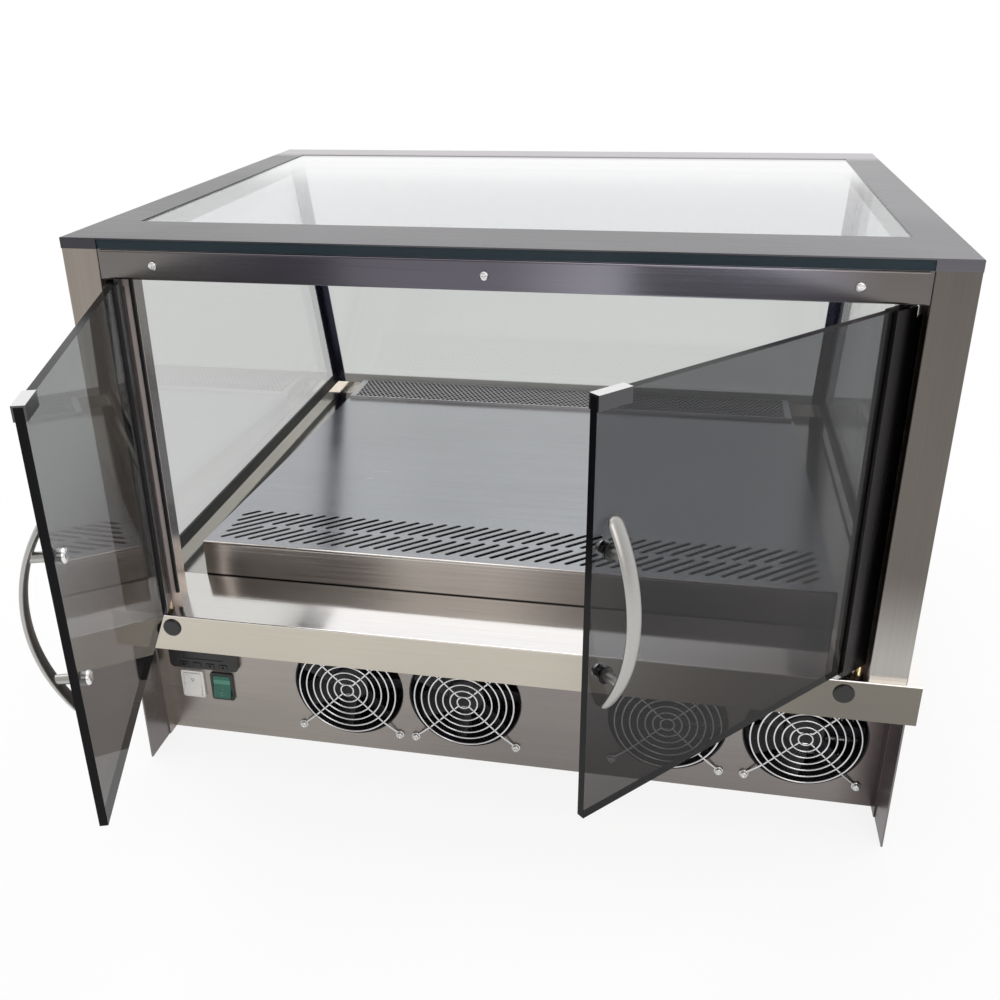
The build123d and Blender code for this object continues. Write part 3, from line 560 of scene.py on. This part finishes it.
# The skirts' darker colour is painted shade on the same sheet as the panel.
skirt_steel = brushed("skirt_steel", (0.23, 0.21, 0.21), "Y")
dress(skirt_steel, "side_skirt_left", "side_skirt_right")
back_steel = brushed("back_steel", (0.42, 0.40, 0.38), "X", roughness=0.32)
dress(back_steel, "rear_panel", "base_pan")

# The axial fans are black mouldings: a square frame with struts, and a
# seven-blade impeller that turns on the motor's shaft.
fan_count = 4
impellers = [f"fan_impeller_{number}" for number in range(1, fan_count + 1)]
dress(moulded("fan_black", (0.014, 0.014, 0.018), 0.42), "fan_frames", *impellers)


# The finger guards are rings of bright chromed wire, welded onto arms. The pan-head
# screws that hold them, and those in the header's cover, are nickel plated.
def plated(name, color, roughness):
    """Plated or polished metal with faint marks in its shine."""
    wear_fineness = 220.0
    worn_share = 0.86
    wear_roughness = 0.06

    metal = finish(name)
    wear = metal.noise(metal.place(), wear_fineness, detail=3.0)
    worn = tuple(channel * worn_share for channel in color)
    return metal.show(metal.add("BsdfPrincipled", {}, {
        "Base Color": metal.blend(wear, worn, color), "Metallic": 1.0,
        "Roughness": roughness + (wear - 0.5) * wear_roughness,
    }))


dress(plated("chromed_wire", (0.86, 0.86, 0.88), 0.12), "fan_guards")
dress(plated("screw_nickel", (0.80, 0.80, 0.80), 0.15), "panhead_screws")


# The thermostat is a black moulding with four push keys under a dark display.
# Three keys carry a sign printed in white: a bar, an arrow down and an arrow up.
def stamp(name, material, body, polygons, placed, front):
    """Printed signs: thin flat shapes in X and Z, just in front of a face's own Y."""
    in_front, ink = 0.0001, 0.00005

    def draw(shape):
        for polygon in polygons:
            corners = [placed @ Vector((x, front(z) - in_front, z)) for x, z in polygon]
            shape.faces.new([shape.verts.new(corner) for corner in corners])
        bmesh.ops.solidify(shape, geom=list(shape.faces), thickness=ink)

    build(name, material, body, draw)


control_black = moulded("control_black", (0.016, 0.016, 0.018), 0.30)
dress(control_black, "controller", "controller_key_set", "controller_key_aux",
      "controller_key_down", "controller_key_up")
print_white = moulded("print_white", (0.82, 0.82, 0.82), 0.5, pebbles=600.0, pebble_strength=0.0)
key_signs = {
    "set": ((-0.0022, -0.0008), (0.0022, -0.0008), (0.0022, 0.0006), (-0.0022, 0.0006)),
    "down": ((-0.0015, 0.0009), (0.0, -0.0014), (0.0015, 0.0009)),
    "up": ((-0.0015, -0.0009), (0.0015, -0.0009), (0.0, 0.0014)),
}
for key, outline in key_signs.items():
    key_low, key_high = (Vector(corner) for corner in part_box(f"controller_key_{key}"))
    face_middle = (key_low + key_high) / 2
    face_middle.y = key_low.y
    stamp(f"mark_{key}", print_white, f"key_{key}", [outline],
          Matrix.Translation(face_middle), lambda z: 0.0)


# The light switch is white, and the power switch is green in a black bezel.
# The rockers are hollowed to a shallow V and rest with their lower half out.
# The white one has a lamp printed on it, and the green one the usual I and O.
def rocker_front(z):
    rise, hollow, half_height = 0.0024, 0.0018, 0.0128
    return -rise - hollow * abs(z) / half_height


def ring(z, inner, outer):
    """The flat quads of a printed ring, in X and Z."""
    count = 20
    turns = [2 * math.pi * step / count for step in range(count + 1)]
    quads = []
    for start, end in zip(turns[:-1], turns[1:]):
        corners = ((inner, start), (outer, start), (outer, end), (inner, end))
        quads.append([(radius * math.cos(a), z + radius * math.sin(a)) for radius, a in corners])
    return quads


switch_white = moulded(
    "switch_white", (0.80, 0.79, 0.76), 0.30, pebbles=600.0, pebble_strength=0.01,
)
dress(switch_white, "light_switch_frame", "light_rocker")
dress(moulded("switch_black", (0.014, 0.014, 0.014), 0.28), "power_switch_frame")
# A band across the green rocker's upper part is a painted highlight, where its top faces the light.
highlight_band_from, highlight_band_to = 0.0628, 0.0680
green = finish("switch_green")
height = green.axis(green.place(), "Z")
painted_highlight_band = (height > highlight_band_from) * (height < highlight_band_to)
green.show(green.add("BsdfPrincipled", {}, {
    "Base Color": green.blend(painted_highlight_band, (0.014, 0.125, 0.085), (0.07, 0.26, 0.19)),
    "Roughness": 0.18,
}))
dress(green.owner, "power_rocker")

rocker_tilt = Matrix.Rotation(math.radians(-7.0), 4, "X")
light_axle = Matrix.Translation((-0.3335, -0.2584, 0.0596))
power_axle = Matrix.Translation((-0.3005, -0.2584, 0.0596))
lamp_foot = ((-0.0008, 0.0034), (0.0008, 0.0034), (0.0, 0.0020))
lamp_sign = ring(0.0052, inner=0.0012, outer=0.0017) + [lamp_foot]
print_grey = moulded("print_grey", (0.20, 0.19, 0.18), 0.5, pebbles=600.0, pebble_strength=0.0)
stamp("mark_lamp", print_grey, "light_switch", lamp_sign,
      light_axle @ rocker_tilt, rocker_front)
on_bar = ((-0.0003, -0.0040), (0.0003, -0.0040), (0.0003, -0.0006), (-0.0003, -0.0006))
power_signs = ring(-0.0082, inner=0.0016, outer=0.0022) + [on_bar]
print_pale_green = moulded(
    "print_pale_green", (0.36, 0.56, 0.50), 0.5, pebbles=600.0, pebble_strength=0.0,
)
stamp("mark_power", print_pale_green, "power_switch", power_signs,
      power_axle @ rocker_tilt, rocker_front)

# The doors are panes of grey tinted toughened glass, 6 mm thick, with ground edges.
# A dark anodised stile grips each pane at the hinge and turns on two pins.
opened = {"left": math.radians(71.7), "right": math.radians(-47.2)}
inward = {side: (math.sin(angle), math.cos(angle), 0.0) for side, angle in opened.items()}
# Each door pane gets a lighter tint on its upper part: painted light, not a change in the glass.
tints = {
    "left": ((0.34, 0.325, 0.32), ("Z", 0.28, 0.48, (0.50, 0.505, 0.505))),
    "right": ((0.32, 0.305, 0.305), ("Z", 0.20, 0.36, (0.46, 0.465, 0.475))),
}
ground_edge = (0.002, 0.002, 0.003)
for side, (low_tint, painted_upper_tint) in tints.items():
    smoke = pane(
        f"{side}_smoked_pane", low_tint, ground_edge, inward[side],
        shine=0.6, edge_alpha=1.0, painted_tint_shift=painted_upper_tint,
    )
    dress(smoke, f"{side}_door_glass")
stile_metal = brushed("stile_metal", (0.055, 0.052, 0.055), "Z", roughness=0.24)
dress(stile_metal, "left_door_stile", "right_door_stile")

# The strike clips are strips of steel, bent over the panes' top free corners. A painted
# highlight lies along the bend on top, and their legs are painted dark with shade.
clip = finish("bent_clip")
painted_top_highlight = clip.axis(clip.place("Normal"), "Z") > 0.5
clip.show(clip.add("BsdfPrincipled", {}, {
    "Base Color": clip.blend(painted_top_highlight, (0.10, 0.10, 0.105), (0.80, 0.80, 0.80)),
    "Metallic": 1.0, "Roughness": 0.16,
}))
dress(clip.owner, "left_door_clip", "right_door_clip")

# Each handle screw goes through the glass, with a black washer in front of it and
# a chrome cap behind it.
pivots = {"left": (-0.319, -0.3125, 0.0), "right": (0.319, -0.3125, 0.0)}
washer_until = -0.0028
for side, pivot in pivots.items():
    fixing = finish(f"{side}_fixing")
    from_pivot = fixing.add("VectorMath", {"operation": "SUBTRACT"}, {0: fixing.place(), 1: pivot})
    chromed = fixing.reach(from_pivot, inward[side]) > washer_until
    fixing.show(fixing.add("BsdfPrincipled", {}, {
        "Base Color": fixing.blend(chromed, (0.012, 0.012, 0.012), (0.80, 0.80, 0.80)),
        "Metallic": chromed, "Roughness": 0.34 - chromed * 0.2,
    }))
    dress(fixing.owner, f"{side}_handle_fixings")

# The bow handles are flat oval bars of satin steel, bent towards the panes at both
# ends and screwed to them.
satin_steel = brushed("satin_tube", (0.46, 0.455, 0.44), "Z", roughness=0.34, streaks=0.06)
dress(satin_steel, "left_door_handle", "right_door_handle")

# The pivots are turned pins, nickel plated below the header and brass on the ledge.
# The doors' stiles turn on them.
upper_from = 0.35
pivot_pins = finish("turned_pivots")
upper = pivot_pins.axis(pivot_pins.place(), "Z") > upper_from
pivot_pins.show(pivot_pins.add("BsdfPrincipled", {}, {
    "Base Color": pivot_pins.blend(upper, (0.62, 0.50, 0.30), (0.66, 0.66, 0.66)),
    "Metallic": 1.0, "Roughness": 0.2,
}))
dress(pivot_pins.owner, "door_pivot_pins")

# The catches are black magnets inside the header, which hold the doors' clips.
# The light is a frosted bar behind the header.
dress(moulded("magnet_black", (0.02, 0.02, 0.02), 0.4), "door_magnets")
dress(moulded("frosted_light", (0.85, 0.85, 0.83), 0.4), "light_bar")

# The cooling parts inside: finned aluminium coils, an enamelled compressor,
# drawn copper pipes, and foam around the well. The power inlet is at the rear.
fin_aluminium = brushed("fin_aluminium", (0.60, 0.60, 0.61), "Y", roughness=0.35)
dress(fin_aluminium, "evaporator_coil", "condenser_coil")
dress(moulded("black_enamel", (0.015, 0.015, 0.015), 0.25), "compressor")
dress(plated("drawn_copper", (0.62, 0.33, 0.20), 0.28), "refrigerant_pipes")
dress(moulded("pale_foam", (0.62, 0.57, 0.42), 0.85), "well_insulation")
dress(moulded("inlet_black", (0.015, 0.015, 0.015), 0.45), "power_inlet")
